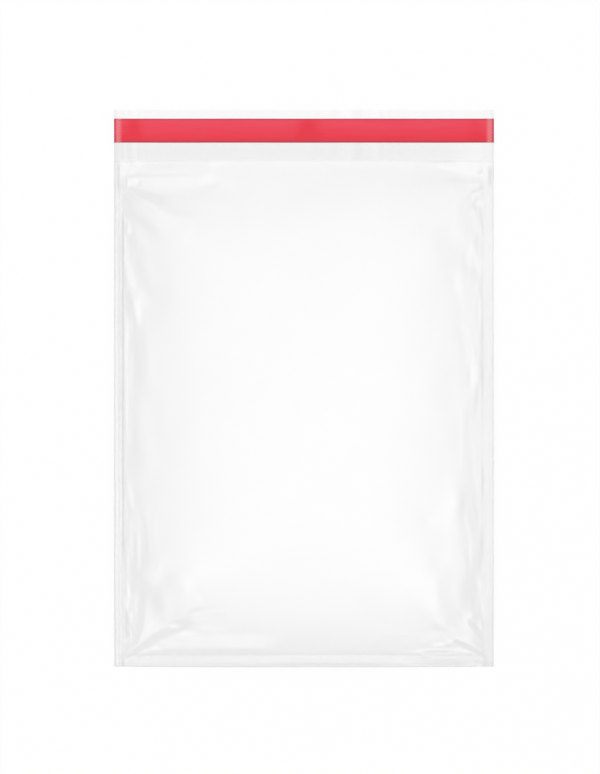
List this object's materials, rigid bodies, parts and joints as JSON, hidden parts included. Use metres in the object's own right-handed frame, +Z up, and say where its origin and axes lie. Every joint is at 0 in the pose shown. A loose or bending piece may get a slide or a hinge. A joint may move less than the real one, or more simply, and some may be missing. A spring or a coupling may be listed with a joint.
{
  "type": "self-seal film bag",
  "caption": "Clear film bag lying on its back, folded at the bottom and welded down both sides, with a puffed open pocket and a flap that carries a glue band under a red release liner.",
  "frame": {"origin": "centre of the bag's outline, on the surface that it lies on", "axes": "+X across the bag, +Y from the bottom fold to the flap, +Z up out of the front panel"},
  "size_m": [0.3, 0.44, 0.0162],
  "materials": {
    "clear_film": "clear blown film, glossy and a little cockled",
    "clear_glue": "tacky clear glue",
    "red_liner": "satin red film, silicone-coated underneath"
  },
  "bodies": {
    "root": {"bag_film": "clear_film", "adhesive_strip": "clear_glue", "release_liner": "red_liner"}
  },
  "joints": []
}
